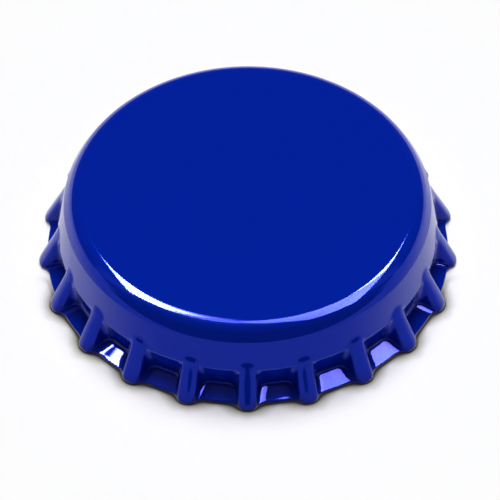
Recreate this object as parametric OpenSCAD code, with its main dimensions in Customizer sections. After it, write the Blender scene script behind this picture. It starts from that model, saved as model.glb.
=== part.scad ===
// Bottle cap before crimping, as made for a 26 mm bottle mouth: one shell pressed from
// lacquered steel sheet, with a ring of flutes round its skirt, and the sealing liner that is
// moulded inside it. Millimetres, +Z up: the open rim stands on z = 0 and the panel is on top.

/* [Overall] */
// Height from the rim to the top of the panel
cap_height = 6.7; // [6.2:0.05:7.4]
// Diameter over the ribs of the skirt at the rim
rim_diameter = 32.1; // [31.4:0.05:33]
// Thickness of the lacquered sheet
sheet = 0.24; // [0.18:0.01:0.3]

/* [Panel and wall] */
// Diameter of the flat part of the panel
panel_diameter = 25.5; // [24.6:0.1:26.2]
// Outside radius of the corner between the panel and the wall
corner_radius = 1; // [0.7:0.05:1.3]
// Height of the straight land under the corner, which centres the cap on the bottle
land_height = 0.5; // [0.3:0.05:0.8]
// Diameter at the foot of the flared wall
waist_diameter = 29.14; // [28.6:0.02:29.6]
// Height of the foot of the flared wall above the rim
waist_height = 2.95; // [2.7:0.05:3.4]
// Radius of the bend at the foot of the flared wall
waist_bend = 0.3; // [0.2:0.05:0.6]

/* [Flutes] */
// Number of flutes
flutes = 21; // [19:1:23]
// Height above the foot of the flared wall at which the ribs leave it
rib_rise = 0.77; // [0.6:0.01:0.95]
// Radius of the fillet where they leave it
rib_fillet = 0.9; // [0.5:0.1:1]
// Distance by which the shoulder of a rib stands out from there
shoulder_step = 0.27; // [0.2:0.01:0.35]
// Distance by which the shoulder is lower
shoulder_drop = 0.34; // [0.3:0.01:0.45]
// Radius of the bend over the shoulder
shoulder_bend = 1.2; // [0.6:0.1:1.3]
// Length over which a rib comes to its full section
rib_tip = 1.12; // [0.8:0.02:1.4]
// Radius of the round back of a rib
rib_round = 1; // [0.85:0.01:1.15]
// Radius of the same back where it leaves the wall
tip_round = 1.5; // [1:0.1:2]
// Radius of the fillet between a rib and the valley
rib_root = 0.6; // [0.4:0.05:0.8]
// Radius of the same fillet where the rib leaves the wall
tip_root = 1.4; // [1:0.1:2]
// Radius of the same fillet at the rim
rim_root = 0.75; // [0.5:0.05:1]
// Height below which that fillet widens towards the rim
spread_height = 2.2; // [1.5:0.1:2.5]
// Steepest angle of a rib's flanks
rib_flank = 77; // [65:1:80]
// Diameter of the bend between a valley and its flange
valley_diameter = 28.6; // [28:0.1:29.2]
// Height of that bend above the rim
valley_height = 1.05; // [0.8:0.05:1.3]
// Radius of that bend
valley_bend = 0.25; // [0.15:0.05:0.5]

/* [Rim] */
// Diameter over the flanges in the valleys
flange_diameter = 30.8; // [30.2:0.05:31.2]
// Width of the lip that turns out at the foot of each rib
lip_width = 0.12; // [0.06:0.02:0.3]
// Height of that lip above the cut edge
lip_height = 0.3; // [0.2:0.02:0.5]
// Radius of the bend above the lip
lip_bend = 0.3; // [0.1:0.05:0.6]

/* [Liner] */
// Clearance between the edge of the liner and the bend of the corner
liner_gap = 0.15; // [0.05:0.05:0.6]
// Thickness of the liner inside its ring
liner_web = 0.25; // [0.15:0.05:0.4]
// Thickness of the raised sealing ring
liner_ring = 0.75; // [0.5:0.05:1]
// Width of the raised sealing ring
liner_ring_width = 1.6; // [1.2:0.1:2.4]
// Radius of the ring's rounded face, in section
liner_ring_round = 1; // [0.9:0.1:2]

/* [Hidden] */

$fn = 96;
panel_r = panel_diameter / 2;
land_r = panel_r + corner_radius;
corner_z = cap_height - corner_radius;
land_z = corner_z - land_height;
waist_r = waist_diameter / 2;
rib_height = waist_height + rib_rise;
rim_r = rim_diameter / 2;
flange_r = flange_diameter / 2;
valley_r = valley_diameter / 2;

// The flared wall is a straight line in section, from the land to the waist
wall_slope = (waist_r - land_r) / (land_z - waist_height);
wall_angle = atan(wall_slope);
function wall_r(z) = land_r + (land_z - z) * wall_slope;
function wall_inside_r(z) = wall_r(z) - sheet / cos(wall_angle);

// The turned panel and wall end at the joint, and the fluted skirt starts there
joint_z = (land_z + rib_height) / 2;
joint_lap = 0.15;
joint_skin = 0.02;

// Unit vector, a point part of the way between two others, and a share kept from 0 to 1
function unit(v) = v / norm(v);
function between(a, b, share) = a + (b - a) * share;
function part(share) = min(1, max(0, share));

// Start, middle and end of a bend of radius r at corner b, on the way from a to c
bend_steps = 2;
function bend(a, b, c, r) =
    let (
        d1 = unit(b - a),
        d2 = unit(c - b),
        turn = acos(d1 * d2),
        side = sign(d1[0] * d2[1] - d1[1] * d2[0]),
        centre = b + unit(d2 - d1) * r / cos(turn / 2),
        first = b - d1 * r * tan(turn / 2) - centre
    )
    [for (k = [0:bend_steps])
        let (t = side * turn * k / bend_steps)
        centre + [first[0] * cos(t) - first[1] * sin(t), first[0] * sin(t) + first[1] * cos(t)]];

// Section down the back of a rib, as radius and height, from the joint to the cut edge
skirt_start = [wall_r(joint_z - joint_lap), joint_z - joint_lap];
rib_start = [wall_r(rib_height), rib_height];
rib_shoulder = rib_start + [shoulder_step, -shoulder_drop];
rib_foot = [rim_r - lip_width, sheet + lip_height];
rib_lip = [rim_r, sheet];
fillet_bend = bend(skirt_start, rib_start, rib_shoulder, rib_fillet);
dome_bend = bend(rib_start, rib_shoulder, rib_foot, shoulder_bend);
foot_bend = bend(rib_shoulder, rib_foot, rib_lip, lip_bend);

// Section down a valley, between two ribs
valley_waist = [waist_r, waist_height];
valley_foot = [valley_r, valley_height];
valley_lip = [flange_r, sheet];
waist_points = bend(skirt_start, valley_waist, valley_foot, waist_bend);
valley_points = bend(valley_waist, valley_foot, valley_lip, valley_bend);

// The same rows down both: the ribs are raised from the valleys row by row
full_z = rib_height - rib_tip;
function at_height(a, b, z) = between(a, b, (a[1] - z) / (a[1] - b[1]));
function on_wall(z) = [wall_r(z), z];
tip_row = between(fillet_bend[2], dome_bend[0], 0.5);
rib_path = [
    skirt_start,
    fillet_bend[0],
    fillet_bend[1],
    tip_row,
    dome_bend[1],
    dome_bend[2],
    at_height(dome_bend[2], foot_bend[0], full_z),
    foot_bend[0],
    foot_bend[2],
    rib_lip];
valley_path = [
    skirt_start,
    fillet_bend[0],
    on_wall(fillet_bend[1][1]),
    on_wall(tip_row[1]),
    waist_points[0],
    waist_points[2],
    at_height(waist_points[2], valley_points[0], full_z),
    valley_points[0],
    valley_points[2],
    valley_lip];
rows = len(rib_path);

// Columns of one flute, as a share of its pitch, with the rib in the middle
pitch = PI * (rim_r + valley_r) / flutes;
rib_columns = [0.43, 0.75, 0.95];
root_column = rib_round + rib_root * 0.4;
half_columns = concat(
    [for (c = rib_columns) rib_round * c / pitch],
    [root_column / pitch, (root_column / pitch + 0.5) / 2]);
columns = concat(
    [for (k = [len(half_columns) - 1:-1:0]) -half_columns[k]],
    [0],
    half_columns,
    [0.5]);
flute_columns = len(columns);
total_columns = flute_columns * flutes;

// Height of a rib's section over the valley at x from its middle: a round back of height d,
// straight flanks where it is tall enough, and a fillet at the root
function section_height(x, d, back, root) =
    let (
        turn = acos(max(cos(rib_flank), 1 - d / (back + root))),
        flank = max(0, (d - (back + root) * (1 - cos(turn))) / max(sin(turn), 0.001)),
        back_end = back * sin(turn),
        flank_end = back_end + flank * cos(turn),
        root_end = flank_end + root * sin(turn)
    )
    x < back_end ? d - back + sqrt(back * back - x * x)
    : x < flank_end ? d - back * (1 - cos(turn)) - (x - back_end) * tan(turn)
    : x < root_end ? root - sqrt(root * root - (root_end - x) * (root_end - x))
    : 0;

// How far a point across the rib has risen from the valley to the rib's back, from 0 to 1
function rise(share, row) =
    let (
        p = rib_path[row],
        q = valley_path[row],
        d = norm(p - q),
        tip = part((p[1] - full_z) / rib_tip),
        low = part(1 - p[1] / spread_height),
        back = between(rib_round, tip_round, tip),
        root = rib_root + (tip_root - rib_root) * tip + (rim_root - rib_root) * low,
        x = abs(share) * 2 * PI / flutes * (p[0] + q[0]) / 2
    )
    d < 0.001 ? 0 : section_height(x, d, back, root) / d;

// Outside of the sheet: column i counts round the rim from the front rib
function column_share(i) = columns[(i + flute_columns * flutes) % flute_columns];
function column_angle(i) = (floor(i / flute_columns) + column_share(i)) * 360 / flutes - 90;
function outside_point(i, row) =
    let (
        p = between(valley_path[row], rib_path[row], rise(column_share(i), row)),
        a = column_angle(i)
    )
    [p[0] * cos(a), p[0] * sin(a), p[1]];

// Inside of the sheet: one thickness along the normal, and level with the floor at the rim
function inside_point(i, row) =
    let (
        p = outside_point(i, row),
        round = outside_point(i + 1, row) - outside_point(i - 1, row),
        down = outside_point(i, min(row + 1, rows - 1)) - outside_point(i, max(row - 1, 0)),
        q = p - unit(cross(down, round)) * sheet
    )
    [q[0], q[1], row == rows - 1 ? 0 : q[2]];

function ring(r, z) =
    [for (i = [0:total_columns - 1]) [r * cos(column_angle(i)), r * sin(column_angle(i)), z]];

// Rings of points, out of sight in the joint, down the outside, under the rim and up the inside
skirt_rings = concat(
    [ring(wall_r(joint_z + joint_lap) - joint_skin, joint_z + joint_lap)],
    [for (row = [0:rows - 1]) [for (i = [0:total_columns - 1]) outside_point(i, row)]],
    [[for (i = [0:total_columns - 1])
        let (p = outside_point(i, rows - 1)) [p[0], p[1], 0]]],
    [for (row = [rows - 1:-1:0]) [for (i = [0:total_columns - 1]) inside_point(i, row)]],
    [ring(wall_inside_r(joint_z + joint_lap) + joint_skin, joint_z + joint_lap)]);

module fluted_skirt() {
    count = len(skirt_rings);
    polyhedron(
        points = [for (r = skirt_rings, p = r) p],
        faces = [for (k = [0:count - 1], i = [0:total_columns - 1], half = [0, 1])
            let (
                below = (k + 1) % count * total_columns,
                above = k * total_columns,
                next = (i + 1) % total_columns
            )
            half == 0
                ? [above + i, above + next, below + i]
                : [above + next, below + next, below + i]]);
}

// Section of the panel, its corner, the land and the upper wall
module panel_section() {
    polygon([[0, cap_height - sheet], [panel_r, cap_height - sheet], [panel_r, cap_height], [0, cap_height]]);
    translate([panel_r, corner_z])
        intersection() {
            difference() {
                circle(r = corner_radius);
                circle(r = corner_radius - sheet);
            }
            square(corner_radius * 2);
        }
    land_inside_z = land_z - sheet * tan(wall_angle / 2);
    polygon([
        [land_r - sheet, corner_z],
        [land_r, corner_z],
        [land_r, land_z],
        [wall_r(joint_z), joint_z],
        [wall_inside_r(joint_z), joint_z],
        [land_r - sheet, land_inside_z]]);
}

module shell() {
    color("royalblue") {
        rotate_extrude() panel_section();
        fluted_skirt();
    }
}

// Sealing liner: a thin web, and a ring with a rounded face that the bottle mouth presses on
module liner() {
    liner_r = panel_r - liner_gap;
    seat_z = cap_height - sheet;
    ring_centre_r = liner_r - liner_ring_width / 2;
    color("ivory")
        rotate_extrude() {
            translate([0, seat_z - liner_web])
                square([ring_centre_r, liner_web]);
            intersection() {
                translate([ring_centre_r, seat_z - liner_ring + liner_ring_round])
                    circle(r = liner_ring_round);
                translate([liner_r - liner_ring_width, seat_z - liner_ring])
                    square([liner_ring_width, liner_ring]);
            }
        }
}

shell();
liner();
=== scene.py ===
import math

import bpy
import numpy as np
from mathutils import Matrix, Vector


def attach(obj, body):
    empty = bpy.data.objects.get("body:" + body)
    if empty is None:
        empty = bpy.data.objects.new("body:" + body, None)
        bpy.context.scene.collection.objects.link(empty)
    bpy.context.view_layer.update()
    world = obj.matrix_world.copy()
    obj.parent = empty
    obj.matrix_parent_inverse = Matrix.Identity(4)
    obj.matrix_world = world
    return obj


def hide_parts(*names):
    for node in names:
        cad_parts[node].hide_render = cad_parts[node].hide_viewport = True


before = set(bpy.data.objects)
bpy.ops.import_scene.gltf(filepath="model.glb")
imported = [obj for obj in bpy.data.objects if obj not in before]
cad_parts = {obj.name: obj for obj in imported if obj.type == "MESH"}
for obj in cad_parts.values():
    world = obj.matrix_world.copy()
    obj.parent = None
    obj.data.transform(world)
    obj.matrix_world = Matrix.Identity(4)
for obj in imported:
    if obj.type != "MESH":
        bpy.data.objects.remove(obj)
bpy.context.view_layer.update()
scene = bpy.context.scene

MM = 0.001

# ---------------------------------------------------------------- sizes, in millimetres and degrees
CAP_H = 6.7
RIM_R = 16.05
SHEET = 0.24
PANEL_R = 12.66
CORNER_R = 1.15
CORNER_TURN = 58.0      # how far the corner turns before it opens into the brow
BROW_R = 6.4            # the brow: a long bend from there down to the straight wall
BROW_TURN = 65.0
WALL_BEND = 0.1         # the bend between the brow and the wall
WAIST = (14.53, 2.95)   # radius and height at which the wall ends between the ribs
WAIST_BEND = 0.3
LAND_R = 13.75          # the straight land inside, which centres the cap on the bottle
LAND_Z = (5.7, 5.2)
LAND_BEND = 0.5
INNER_CORNER = 0.76
FLUTES = 21
START_Z = 4.6           # height on the wall at which the rows of the skirt start
RIB_Z = 3.72            # height at which a rib leaves the wall
RIB_FILLET = 0.9        # radius of the bend there
SHOULDER_STEP = 0.2     # how far a rib's shoulder stands out from there
SHOULDER_DROP = 0.34    # and how much lower it is
RIB_DOME = 0.8          # radius of the shoulder's bend
RIB_TIP = 1.12          # height over which a rib comes to its full section
SPREAD_Z = 2.2          # height below which its root widens
RIB_BACK = 1.3          # section across a rib: radius of its almost flat back
RIB_BACK_TURN = 18.0    # and how far that turns before the edges
RIB_EDGE = 0.45         # radius of its edges
RIB_ROOT = 0.6          # fillet at its root, half way down
RIM_ROOT = 0.95         # and at the rim
TIP_BACK = 1.6          # back, edges and root where the rib leaves the wall
TIP_EDGE = 0.5
TIP_ROOT = 1.2
RIB_FLANK = 77.0        # the steepest that its flanks may be
VALLEY = (14.11, 0.87)  # where the hollow between two ribs turns out into the flange
VALLEY_BEND = 0.25
FLANGE_R = 15.4
FLANGE_STEP = 0.03      # how much higher its edge is than the edge of a rib
FLANGE_LIP = (15.3, 0.3)    # where the flange flattens towards its edge
LIP_W = 0.12            # width and height of the lip at the foot of a rib
LIP_H = 0.3
LIP_BEND = 0.3
EDGE_R = 0.07           # rounding of the cut edge
LEAST_RIB = 0.0001      # a rib lower than this is none

# ---------------------------------------------------------------- where the rows and columns lie
RIDGE_Z = (START_Z, 3.95, 3.55, 3.0, 0.95, 0.62, SHEET)
VALLEY_Z = (START_Z, 3.95, 3.4, 2.75, 1.12, 0.7, SHEET + FLANGE_STEP)
ROWS = (5, 9, 11, 12, 6, 7)             # rows from each of these heights to the next
PANEL_ROWS = (0.02, 6, 11, 12.4)        # radii of the rows on the panel, outside
INNER_PANEL_ROWS = (6, 0.02)            # and inside
HALF_RIB = (0.15, 0.29, 0.4, 0.48, 0.55, 0.61, 0.66, 0.7, 0.74, 0.78, 0.82, 0.88, 0.96, 1.05, 1.15,
            1.27, 1.42, 1.7)            # columns, by their distance from the middle of a rib
HALF_RIB_R = 15.2                       # the radius at which that distance is measured


def arc(start, r, first, last, steps):
    """Points down an outward bend, by the angle between the surface and the level."""
    turns = np.radians(np.linspace(first, last, steps + 1))
    return [(start[0] + r * (math.sin(turn) - math.sin(turns[0])),
             start[1] - r * (math.cos(turns[0]) - math.cos(turn))) for turn in turns]


corner = arc((PANEL_R, CAP_H), CORNER_R, 0, CORNER_TURN, steps=20)
brow = arc(corner[-1], BROW_R, CORNER_TURN, BROW_TURN, steps=8)
WALL_TOP = brow[-1]
WALL_SLOPE = (WAIST[0] - WALL_TOP[0]) / (WALL_TOP[1] - WAIST[1])


def wall_r(z):
    return WALL_TOP[0] + (WALL_TOP[1] - z) * WALL_SLOPE


def unit(v):
    return v / np.linalg.norm(v)


def bend(a, b, c, r, steps):
    """Points along a bend of radius r at corner b, on the way from a to c, with both ends."""
    a, b, c = (np.array(p, float) for p in (a, b, c))
    d1, d2 = unit(b - a), unit(c - b)
    turn = math.acos(float(np.clip(d1 @ d2, -1, 1)))
    way = np.sign(d1[0] * d2[1] - d1[1] * d2[0])
    centre = b + unit(d2 - d1) * r / math.cos(turn / 2)
    first = b - d1 * r * math.tan(turn / 2) - centre
    out = []
    for k in range(steps + 1):
        t = way * turn * k / steps
        out.append(centre + np.array([first[0] * math.cos(t) - first[1] * math.sin(t),
                                      first[0] * math.sin(t) + first[1] * math.cos(t)]))
    return out


def stations(path, heights, counts):
    """Rows along a falling path: so many between each height and the next, evenly spaced."""
    path = np.array(path)
    length = np.concatenate([[0], np.cumsum(np.linalg.norm(np.diff(path, axis=0), axis=1))])
    knots = np.interp(-np.array(heights), -path[:, 1], length)
    spans = [np.linspace(knots[k], knots[k + 1], n, endpoint=False) for k, n in enumerate(counts)]
    at = np.concatenate(spans)
    return np.stack([np.interp(at, length, path[:, 0]), np.interp(at, length, path[:, 1])], -1)


# ---------------------------------------------------------------- lines down a rib and down a hollow
skirt_top = (wall_r(START_Z), START_Z)
rib_top = (wall_r(RIB_Z), RIB_Z)
shoulder = (rib_top[0] + SHOULDER_STEP, RIB_Z - SHOULDER_DROP)
rib_foot = (RIM_R - LIP_W, SHEET + LIP_H)
rib_lip = (RIM_R, SHEET)
flange_lip = (FLANGE_R, SHEET + FLANGE_STEP)

ridge_line = [skirt_top] + bend(skirt_top, rib_top, shoulder, RIB_FILLET, steps=40)
ridge_line += bend(rib_top, shoulder, rib_foot, RIB_DOME, steps=40)
ridge_line += bend(shoulder, rib_foot, rib_lip, LIP_BEND, steps=20) + [rib_lip]
valley_line = [skirt_top] + bend(skirt_top, WAIST, VALLEY, WAIST_BEND, steps=30)
valley_line += bend(WAIST, VALLEY, FLANGE_LIP, VALLEY_BEND, steps=30)
valley_line += bend(VALLEY, FLANGE_LIP, flange_lip, LIP_BEND, steps=10) + [flange_lip]


def cut_edge(before, lip):
    """The rounded cut edge, from the face of the sheet down to the floor."""
    lip = np.array(lip, float)
    foot = np.array([lip[0], 0.0])
    outer = bend(before, lip, foot, EDGE_R, steps=3)
    return np.array(outer + bend(lip, foot, foot - (1, 0), EDGE_R, steps=3))


ridge_rows = stations(ridge_line, RIDGE_Z, ROWS)
valley_rows = stations(valley_line, VALLEY_Z, ROWS)
ridge_out = np.concatenate([ridge_rows, cut_edge(ridge_rows[-1], rib_lip)])
valley_out = np.concatenate([valley_rows, cut_edge(valley_rows[-1], flange_lip)])

# ---------------------------------------------------------------- columns round the rim
pitch = 2 * math.pi * HALF_RIB_R / FLUTES
rib_half = np.array(HALF_RIB) / pitch
half = np.concatenate([rib_half, np.linspace(rib_half[-1], 0.5, 4)[1:]])    # to the hollow's middle
in_flute = np.concatenate([-half[-2::-1], [0.0], half])     # as shares of a flute, from its rib
COLS = len(in_flute) * FLUTES
ALL = np.arange(COLS)
EVEN = ALL[::2]
angle = (np.arange(FLUTES)[:, None] + in_flute[None, :]).ravel() * 2 * math.pi / FLUTES - math.pi / 2
from_rib = np.abs(np.tile(in_flute, FLUTES)) * 2 * math.pi / FLUTES


def rib_section(x, d, back, edge, root):
    """Height of a rib at x from its middle, as a share of its full height d: an almost flat back
    that turns over its edges into steep flanks, with a fillet at the root."""
    # the back ends at (x1, h1), the edge at (x2, h2), the flank at (x3, h3) and the fillet at x4
    t1 = math.radians(RIB_BACK_TURN)
    if d <= (back + root) * (1 - math.cos(t1)):
        t1 = t2 = math.acos(1 - d / (back + root))
    else:
        level = (back * (1 - math.cos(t1)) + edge * math.cos(t1) + root - d) / (edge + root)
        t2 = math.acos(max(math.cos(math.radians(RIB_FLANK)), level))
    h1 = d - back * (1 - math.cos(t1))
    x1 = back * math.sin(t1)
    h2 = h1 - edge * (math.cos(t1) - math.cos(t2))
    x2 = x1 + edge * (math.sin(t2) - math.sin(t1))
    h3 = root * (1 - math.cos(t2))
    x3 = x2 + max(0.0, h2 - h3) / max(math.tan(t2), 1e-6)   # never divided by zero
    x4 = x3 + root * math.sin(t2)
    over_edge = np.clip(x, x1, x2) - x1 + edge * math.sin(t1)
    top = d - back + np.sqrt(np.maximum(back ** 2 - np.minimum(x, x1) ** 2, 0))
    rounded = h1 - edge * math.cos(t1) + np.sqrt(np.maximum(edge ** 2 - over_edge ** 2, 0))
    flank = h2 - (x - x2) * math.tan(t2)
    foot = root - np.sqrt(np.maximum(root ** 2 - np.clip(x4 - x, 0, root) ** 2, 0))
    lower = np.where(x < x3, flank, np.where(x < x4, foot, 0.0))
    return np.where(x < x1, top, np.where(x < x2, rounded, lower)) / d


def skirt(ridge, valley, depth):
    """Rows of points as radius and height, with a rib in the middle of each flute. The radii
    across a rib are for a surface that lies so deep inside the outer one."""
    out = []
    for crest, hollow in zip(ridge, valley):
        d = float(np.linalg.norm(crest - hollow))
        low = min(1.0, max(0.0, 1 - crest[1] / SPREAD_Z))           # 1 at the floor
        tip = min(1.0, max(0.0, 1 - (RIB_Z - crest[1]) / RIB_TIP))  # 1 where the rib leaves the wall
        back = RIB_BACK + (TIP_BACK - RIB_BACK) * tip - depth
        edge = RIB_EDGE + (TIP_EDGE - RIB_EDGE) * tip - depth
        root = RIB_ROOT + (RIM_ROOT - RIB_ROOT) * low + (TIP_ROOT - RIB_ROOT) * tip + depth
        raised = np.zeros(COLS)
        if d > LEAST_RIB:
            raised = rib_section(from_rib * (crest[0] + hollow[0]) / 2, d, back, edge, root)
        out.append(hollow + (crest - hollow) * raised[:, None])
    return np.array(out)


def inward(path):
    """The same section one sheet further in."""
    path = np.array(path)
    along = np.gradient(path, axis=0)
    normal = np.stack([along[:, 1], -along[:, 0]], -1)
    normal /= np.linalg.norm(normal, axis=1)[:, None]
    out = path + normal * SHEET
    out[-1, 1] = 0      # the last row lies on the floor
    return out


def round_rows(path):
    return np.repeat(np.array(path, float)[:, None, :], COLS, 1)


# outside: panel, corner, brow, wall, skirt
top_out = [(r, CAP_H) for r in PANEL_ROWS] + corner + brow[1:-1]
top_out += bend(brow[-2], WALL_TOP, skirt_top, WALL_BEND, steps=4)
skirt_out = skirt(ridge_out, valley_out, 0)

# inside: the skirt one sheet in, then the land, the corner and the panel
ridge_in = inward(np.concatenate([ridge_rows, [rib_lip]]))
valley_in = inward(np.concatenate([valley_rows, [flange_lip]]))
skirt_in = skirt(ridge_in, valley_in, SHEET)[::-1]
inner_r = LAND_R - SHEET
inner_z = CAP_H - SHEET
corner_in = arc((inner_r - INNER_CORNER, inner_z), INNER_CORNER, 0, 90, steps=8)[::-1]
land_in = bend(skirt_in[-1][0], (inner_r, LAND_Z[1]), (inner_r, LAND_Z[0]), LAND_BEND, steps=4)
top_in = land_in + corner_in + [(r, inner_z) for r in INNER_PANEL_ROWS]

# ---------------------------------------------------------------- the pressed shell
verts = []
faces = []


def ring(row, cols):
    """Add one row of points round the axis and return their indices."""
    first = len(verts)
    for (r, z), a in zip(row[cols], angle[cols]):
        verts.append((r * math.cos(a) * MM, r * math.sin(a) * MM, z * MM))
    return list(range(first, len(verts)))


def join(a, b):
    """Faces between two rows, of which one may have twice the points of the other."""
    n = min(len(a), len(b))
    for i in range(n):
        j = (i + 1) % n
        if len(a) == len(b):
            faces.append((a[i], b[i], b[j], a[j]))
        elif len(b) > len(a):
            p, q, r = b[2 * i], b[2 * i + 1], b[2 * j]
            faces.extend([(a[i], p, q), (a[i], q, a[j]), (a[j], q, r)])
        else:
            p, q, r = a[2 * i], a[2 * i + 1], a[2 * j]
            faces.extend([(p, b[i], q), (q, b[i], b[j]), (q, b[j], r)])


def close(loop, z, outside):
    """A fan over the small hole at the middle of a panel."""
    verts.append((0, 0, z * MM))
    middle = len(verts) - 1
    for i in range(len(loop)):
        a, b = loop[i], loop[(i + 1) % len(loop)]
        faces.append((middle, a, b) if outside else (middle, b, a))


# the outside of the skirt has all the columns, the rest every second one
parts = [(round_rows(top_out), EVEN), (skirt_out, ALL), (skirt_in, EVEN), (round_rows(top_in[1:]), EVEN)]
rings = [ring(row, cols) for rows, cols in parts for row in rows]
for upper, lower in zip(rings, rings[1:]):
    join(upper, lower)
close(rings[0], CAP_H, outside=True)
close(rings[-1], inner_z, outside=False)
mesh = bpy.data.meshes.new("pressed_shell")
mesh.from_pydata(verts, [], faces)
mesh.update()
for face in mesh.polygons:
    face.use_smooth = True
shell = bpy.data.objects.new("pressed_shell", mesh)
scene.collection.objects.link(shell)

# ---------------------------------------------------------------- shader nodes
AO_REACH = 1.6 * MM     # how far the painted shade in hollows and on the floor looks
CLOUD = (0.3, 0.7)      # values of the slow noise at the two ends of the roughness


def put(tree, node, key, value):
    """Set an input of a node to a number or colour, or link another node's output to it."""
    if isinstance(value, bpy.types.NodeSocket):
        tree.links.new(value, node.inputs[key])
    else:
        node.inputs[key].default_value = value


def shader(tree, kind, inputs=()):
    """A new shader node with its inputs given as pairs."""
    node = tree.nodes.new("ShaderNode" + kind)
    for key, value in inputs:
        put(tree, node, key, value)
    return node


def calc(tree, operation, *values):
    """A Math node on numbers or other nodes' outputs."""
    node = shader(tree, "Math", enumerate(values))
    node.operation = operation
    return node.outputs[0]


def ramp(tree, value, source, target=(0.0, 1.0), smooth=True):
    """A value that goes from one end of target to the other while the input does so in source."""
    node = shader(tree, "MapRange", [("Value", value), ("From Min", source[0]), ("From Max", source[1]),
                                     ("To Min", target[0]), ("To Max", target[1])])
    node.interpolation_type = "SMOOTHSTEP" if smooth else "LINEAR"
    return node.outputs[0]


def tones(tree, value, stops, interpolation="LINEAR"):
    """A colour that changes with the value, by pairs of position and colour in rising order."""
    node = shader(tree, "ValToRGB", [("Fac", value)])
    node.color_ramp.interpolation = interpolation
    elements = node.color_ramp.elements
    elements[0].position, elements[0].color = stops[0]
    elements[1].position, elements[1].color = stops[-1]
    for position, colour in stops[1:-1]:
        elements.new(position).color = colour
    return node.outputs["Color"]


def mix(tree, share, a, b):
    """Colour a where share is 0, and b where it is 1."""
    node = shader(tree, "Mix")
    node.data_type = "RGBA"
    for key, value in ((0, share), (6, a), (7, b)):     # 6 and 7 are the inputs for colours
        put(tree, node, key, value)
    return node.outputs[2]


def occlusion(tree, samples):
    node = shader(tree, "AmbientOcclusion", [("Distance", AO_REACH)])
    node.samples = samples
    return node.outputs["AO"]


def empty_material(name):
    new = bpy.data.materials.new(name)
    new.use_nodes = True
    new.node_tree.nodes.clear()
    return new, new.node_tree


def orange_peel(tree, bsdf, scale, height, roughness):
    """Fine unevenness of a coating, with a roughness that varies slowly over it."""
    where = shader(tree, "TexCoord").outputs["Object"]
    grain = shader(tree, "TexNoise", [("Vector", where), ("Scale", scale), ("Detail", 2.0)])
    cloud = shader(tree, "TexNoise", [("Vector", where), ("Scale", scale / 4), ("Detail", 3.0)])
    bump = shader(tree, "Bump", [("Height", grain.outputs["Fac"]), ("Strength", 1.0), ("Distance", height)])
    put(tree, bsdf, "Roughness", ramp(tree, cloud.outputs["Fac"], CLOUD, roughness, smooth=False))
    put(tree, bsdf, "Normal", bump.outputs["Normal"])
    put(tree, bsdf, "Coat Normal", bump.outputs["Normal"])


# ---------------------------------------------------------------- materials
BLUE = (0.0, 0.02, 0.46, 1)
# painted shade: the colour that the lacquer is darkened to in hollows, by how occluded they are
HOLLOW_SHADE_BLUE = (0.0, 0.002, 0.1, 1)
COAT_FACING = (0.27, 0.55)      # 1 - cosine of the slant: 43 and 63 degrees from face-on
COAT_WEIGHT = (0.25, 1.0)       # the coat's weight up to the first of these and from the second
COMPOUND = (0.72, 0.71, 0.64, 1)
FLOOR_WHITE = (0.9, 0.9, 0.9, 1)
SHADE = (0.5, 0.49, 0.45, 1)
DEEP_SHADE = (0.06, 0.057, 0.047, 1)
SHADE_Y = (-11.0 * MM, -2.0 * MM)   # the painted shade fades out between these places
FLOOR_LIFT = 0.1                # light of its own, for the camera only
FLOOR_SIZE = 6.0                # metres


def lacquer():
    """Clear-coated metallic blue, with painted shade that darkens it in hollows, and a coat that shows more
    at a slant.
    """
    paint, tree = empty_material("blue_lacquer")
    facing = shader(tree, "LayerWeight", [("Blend", 0.5)]).outputs["Facing"]
    bsdf = shader(tree, "BsdfPrincipled", [
        # painted shade: the base colour darkens from blue towards the hollow shade where ambient occlusion
        # is strong
        ("Base Color", tones(tree, occlusion(tree, samples=8), [(0.5, HOLLOW_SHADE_BLUE), (0.97, BLUE)])),
        ("Metallic", 0.33),
        ("Specular IOR Level", 0.0),
        ("Coat Weight", ramp(tree, facing, COAT_FACING, COAT_WEIGHT)),
        ("Coat Roughness", 0.02),
        ("Coat IOR", 1.45)])
    orange_peel(tree, bsdf, scale=700.0, height=0.0003 * MM, roughness=(0.045, 0.06))
    shader(tree, "OutputMaterial", [("Surface", bsdf.outputs["BSDF"])])
    return paint


def liner_compound():
    compound, tree = empty_material("liner_compound")
    bsdf = shader(tree, "BsdfPrincipled", [("Base Color", COMPOUND)])
    orange_peel(tree, bsdf, scale=1600.0, height=0.006 * MM, roughness=(0.36, 0.5))
    shader(tree, "OutputMaterial", [("Surface", bsdf.outputs["BSDF"])])
    return compound


def floor_white():
    """White, with a contact shade round the front of the cap that only the camera sees."""
    white, tree = empty_material("floor_white")
    place = shader(tree, "SeparateXYZ", [(0, shader(tree, "TexCoord").outputs["Object"])])
    behind = ramp(tree, place.outputs["Y"], SHADE_Y, smooth=False)
    openness = calc(tree, "MAXIMUM", behind, occlusion(tree, samples=16))
    shade = tones(tree, openness, [(0.68, DEEP_SHADE), (0.84, SHADE), (0.96, FLOOR_WHITE)], "EASE")
    camera_ray = shader(tree, "LightPath").outputs["Is Camera Ray"]
    diffuse = shader(tree, "BsdfDiffuse", [("Color", mix(tree, camera_ray, FLOOR_WHITE, shade))])
    strength = calc(tree, "MULTIPLY", camera_ray, FLOOR_LIFT)
    lift = shader(tree, "Emission", [("Color", shade), ("Strength", strength)])
    both = shader(tree, "AddShader", [(0, diffuse.outputs[0]), (1, lift.outputs[0])])
    shader(tree, "OutputMaterial", [("Surface", both.outputs[0])])
    return white


# ---------------------------------------------------------------- pieces, slots and floor
mesh.materials.append(lacquer())
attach(shell, "root")
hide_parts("shell")

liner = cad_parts["liner"].data
liner.materials.clear()
liner.materials.append(liner_compound())

bpy.ops.mesh.primitive_plane_add(size=FLOOR_SIZE, location=(0, 0, 0))
floor = bpy.context.object
floor.name = "floor"
floor.data.materials.append(floor_white())

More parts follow.
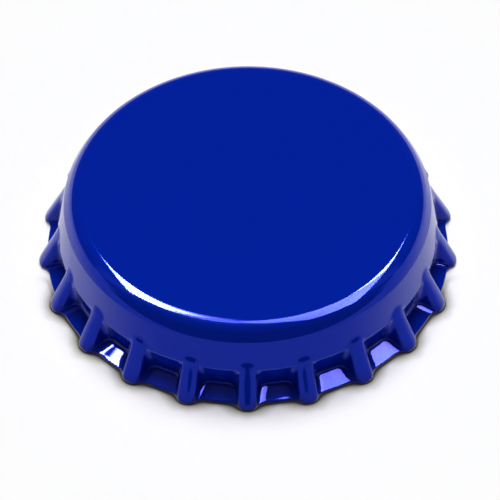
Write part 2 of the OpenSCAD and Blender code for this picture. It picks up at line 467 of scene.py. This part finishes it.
# ---------------------------------------------------------------- light
# The studio is drawn on a level ceiling of height 1: a direction (x, y, z) meets it at (x/z, y/z).
# Each softbox is what its edges enclose. An edge is x and y of a normal that points inward, the
# edge's distance along it from straight above the cap, and half the width over which it fades.
LEFT_BOX = [(0.786, -0.618, -0.591, 0.012), (0, 1, 0.03, 0.012), (-1, 0, 0.03, 0.02), (0, -1, -0.78, 0.02)]
LEFT_BRIGHT = [(-0.827, 0.563, 0.3, 0.07), (-1, 0, 0.1, 0.05)]
LEFT_DIM = 0.08         # share of the level outside the bright part
LEFT_LEVEL = 90.0
RIGHT_BOX = [(0.774, 0.633, 0.03, 0.015), (-0.774, -0.633, -0.67, 0.02), (0, 1, -0.58, 0.05),
             (1, 0, -0.02, 0.03), (0, -1, -0.78, 0.02)]
RIGHT_GAP = [(-1, 0, -0.24, 0.015), (0, 1, 0.39, 0.02)]
RIGHT_BRIGHT = [(0.774, 0.633, 0.3, 0.35)]
RIGHT_DIM = 0.5
RIGHT_LEVEL = 20.0
CORNER_BOX = [(1, 0, 0.24, 0.015), (-0.774, -0.633, -0.67, 0.02), (0, 1, 0.44, 0.03)]
CORNER_LEVEL = 60.0
BOX_TINT = (1.5, 1.1, 1.0)
STRIP_Y = (0.4, 0.1)    # a faint strip across the ceiling, from its edge to where it is full
STRIP_LEVEL = 0.4
HORIZON_Z = (0.18, 0.13)    # the pale horizon behind the cap, also from its edge inward
HORIZON_Y = (-0.35, 0.0)
KEY_Y = 0.45            # diffuse light comes from a round patch of the ceiling
KEY_EDGE = (0.2, 0.06)  # squares of distances from its middle, from its edge inward
KEY_LEVEL = 10.5
AMBIENT = 0.1
LOWEST_Z = 0.02         # directions below this don't meet the ceiling
WHITE = (1, 1, 1, 1)


def studio():
    """Soft light for surfaces, softboxes and a pale horizon for glossy rays, white for the camera."""
    world = bpy.data.worlds.new("studio")
    world.use_nodes = True
    tree = world.node_tree
    tree.nodes.clear()
    direction = shader(tree, "SeparateXYZ", [(0, shader(tree, "TexCoord").outputs["Generated"])]).outputs
    up = calc(tree, "MAXIMUM", direction["Z"], LOWEST_Z)
    x = calc(tree, "DIVIDE", direction["X"], up)
    y = calc(tree, "DIVIDE", direction["Y"], up)
    above = calc(tree, "GREATER_THAN", direction["Z"], LOWEST_Z)

    def plus(a, b):
        return calc(tree, "ADD", a, b)

    def times(a, b):
        return calc(tree, "MULTIPLY", a, b)

    def enclosed(edges):
        """1 on the ceiling inside all the edges, 0 elsewhere."""
        mask = above
        for normal_x, normal_y, distance, soft in edges:
            along = plus(times(x, normal_x), times(y, normal_y))
            mask = times(mask, ramp(tree, along, (distance - soft, distance + soft)))
        return mask

    def at_least(low, mask):
        """The mask raised so that it runs from low to 1."""
        return plus(times(mask, 1 - low), low)

    left = times(enclosed(LEFT_BOX), at_least(LEFT_DIM, enclosed(LEFT_BRIGHT)))
    right = times(enclosed(RIGHT_BOX), calc(tree, "SUBTRACT", 1.0, enclosed(RIGHT_GAP)))
    right = times(right, at_least(RIGHT_DIM, enclosed(RIGHT_BRIGHT)))
    boxes = plus(times(left, LEFT_LEVEL), times(right, RIGHT_LEVEL))
    boxes = plus(boxes, times(enclosed(CORNER_BOX), CORNER_LEVEL))
    strip = times(ramp(tree, calc(tree, "ABSOLUTE", y), STRIP_Y), above)
    horizon = times(ramp(tree, direction["Z"], HORIZON_Z), ramp(tree, direction["Y"], HORIZON_Y))
    rest = plus(plus(horizon, AMBIENT), times(strip, STRIP_LEVEL))
    tinted = [plus(times(boxes, tint), rest) for tint in BOX_TINT]
    shine = shader(tree, "CombineXYZ", enumerate(tinted)).outputs[0]

    from_key = plus(calc(tree, "POWER", x, 2.0), calc(tree, "POWER", calc(tree, "SUBTRACT", y, KEY_Y), 2.0))
    key = times(ramp(tree, from_key, KEY_EDGE), above)
    soft_light = plus(times(key, KEY_LEVEL), AMBIENT)

    rays = shader(tree, "LightPath").outputs
    colour = mix(tree, rays["Is Glossy Ray"], soft_light, shine)
    colour = mix(tree, rays["Is Camera Ray"], colour, WHITE)
    background = shader(tree, "Background", [("Color", colour), ("Strength", 1.0)])
    shader(tree, "OutputWorld", [("Surface", background.outputs[0])])
    return world


scene.view_settings.view_transform = "Standard"
scene.world = studio()

# ---------------------------------------------------------------- camera
IMAGE = 500             # pixels
SENSOR = 36.0           # millimetres
EL = math.radians(48.42)
AZ = math.radians(-90 + 0.3625)
ROLL = math.radians(-0.3938)
AIM = Vector((0, 0, 0.003))     # metres
DIST = 0.39571          # from there, in metres
F_PX = 5173.0           # focal length in pixels
U0, V0 = 247.65, 224.48     # the pixel where the camera's axis meets the picture


def photo_camera():
    """A camera at the photograph's viewing angle."""
    cam = bpy.data.cameras.new("camera")
    cam.sensor_width = SENSOR
    cam.lens = F_PX / IMAGE * SENSOR
    cam.shift_x = (IMAGE / 2 - U0) / IMAGE
    cam.shift_y = -(IMAGE / 2 - V0) / IMAGE
    camera = bpy.data.objects.new("camera", cam)
    toward = Vector((math.cos(EL) * math.cos(AZ), math.cos(EL) * math.sin(AZ), math.sin(EL)))
    turned = toward.to_track_quat("Z", "Y").to_matrix().to_4x4() @ Matrix.Rotation(ROLL, 4, "Z")
    camera.matrix_world = Matrix.Translation(AIM + toward * DIST) @ turned
    scene.collection.objects.link(camera)
    return camera


scene.camera = photo_camera()
